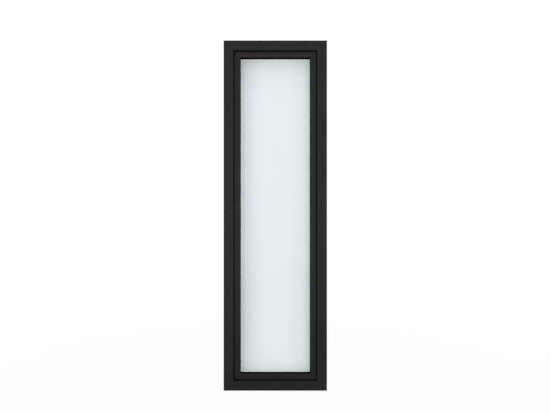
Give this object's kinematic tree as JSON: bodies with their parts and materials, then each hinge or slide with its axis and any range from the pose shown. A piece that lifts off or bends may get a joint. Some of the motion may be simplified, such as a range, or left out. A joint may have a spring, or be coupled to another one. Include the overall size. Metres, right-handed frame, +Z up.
{
  "type": "steel sliding window",
  "caption": "Tall narrow sliding window: hollow steel channel frame, one glazed leaf on rollers, open slot at the pocket side",
  "frame": {"origin": "middle of the sill's underside, at mid-depth", "axes": "+Z up, -Y towards the outside (the side in the picture), +X towards the closing jamb"},
  "size_m": [0.59, 0.1, 2],
  "materials": {
    "frame_paint": "satin",
    "leaf_paint": "satin",
    "bead_paint": "satin",
    "outer_glass": "gloss",
    "inner_glass": "satin",
    "spacer_metal": "satin",
    "sealant": "matte",
    "glazing_rubber": "matte",
    "seal_rubber": "matte",
    "rail_steel": "satin",
    "carriage_steel": "satin",
    "wheel_steel": "polished",
    "guide_plastic": "matte",
    "packer_plastic": "matte",
    "pull_steel": "satin"
  },
  "bodies": {
    "root": {"back_seal_bottom": "seal_rubber", "back_seal_left": "seal_rubber", "back_seal_right": "seal_rubber", "back_seal_top": "seal_rubber", "closing_jamb": "frame_paint", "edge_sealant": "sealant", "flush_pull": "pull_steel", "frame_head": "frame_paint", "frame_sill": "frame_paint", "front_seal_bottom": "seal_rubber", "front_seal_left": "seal_rubber", "front_seal_right": "seal_rubber", "front_seal_top": "seal_rubber", "glazing_bead_bottom": "bead_paint", "glazing_bead_left": "bead_paint", "glazing_bead_right": "bead_paint", "glazing_bead_top": "bead_paint", "grooved_wheel_closing": "wheel_steel", "grooved_wheel_trailing": "rail_steel", "guide_block_closing": "guide_plastic", "guide_block_trailing": "rail_steel", "head_guide_rail": "rail_steel", "inner_glazing_gasket": "glazing_rubber", "inner_pane": "inner_glass", "latch_rose": "pull_steel", "latch_turn": "pull_steel", "leaf_bottom_rail": "leaf_paint", "leaf_closing_stile": "leaf_paint", "leaf_top_rail": "leaf_paint", "leaf_trailing_stile": "leaf_paint", "outer_glazing_gasket": "glazing_rubber", "outer_pane": "outer_glass", "packer_bottom_closing": "packer_plastic", "packer_bottom_trailing": "rail_steel", "packer_side_closing": "packer_plastic", "packer_side_trailing": "rail_steel", "pocket_jamb_back": "frame_paint", "pocket_jamb_front": "frame_paint", "roller_carriage_closing": "carriage_steel", "roller_carriage_trailing": "rail_steel", "sill_rail": "rail_steel", "spacer_bar": "spacer_metal"}
  },
  "joints": []
}
